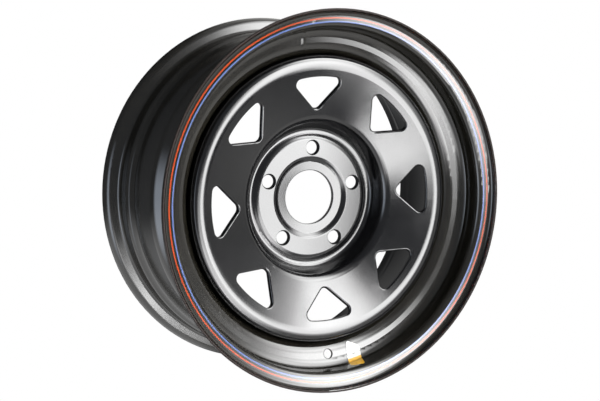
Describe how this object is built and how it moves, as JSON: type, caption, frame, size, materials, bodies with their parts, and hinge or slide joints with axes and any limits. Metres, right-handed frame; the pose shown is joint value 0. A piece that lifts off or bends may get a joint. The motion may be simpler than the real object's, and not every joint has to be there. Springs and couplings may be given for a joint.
{
  "type": "steel wheel",
  "caption": "Black pressed steel car wheel: rolled drop-centre rim with a dished disc that has triangular windows, a hub bore and a ring of nut holes.",
  "frame": {"origin": "on the axle line, in the plane of the hub mounting face", "axes": "+Z along the axle line, out of the outboard face; +Y towards one nut hole; the wheel lies on its inboard flange, outboard face up"},
  "size_m": [0.4401, 0.4402, 0.2008],
  "materials": {
    "rim_paint": "gloss black paint with a red and a blue pinstripe on the outboard flange",
    "disc_paint": "gloss black paint",
    "weld_paint": "gloss black paint over weld",
    "label": "plain yellow and white foil"
  },
  "bodies": {
    "root": {"rim": "rim_paint", "wheel_disc": "disc_paint", "disc_welds": "weld_paint", "rim_seam": "rim_paint", "label": "label"}
  },
  "joints": []
}
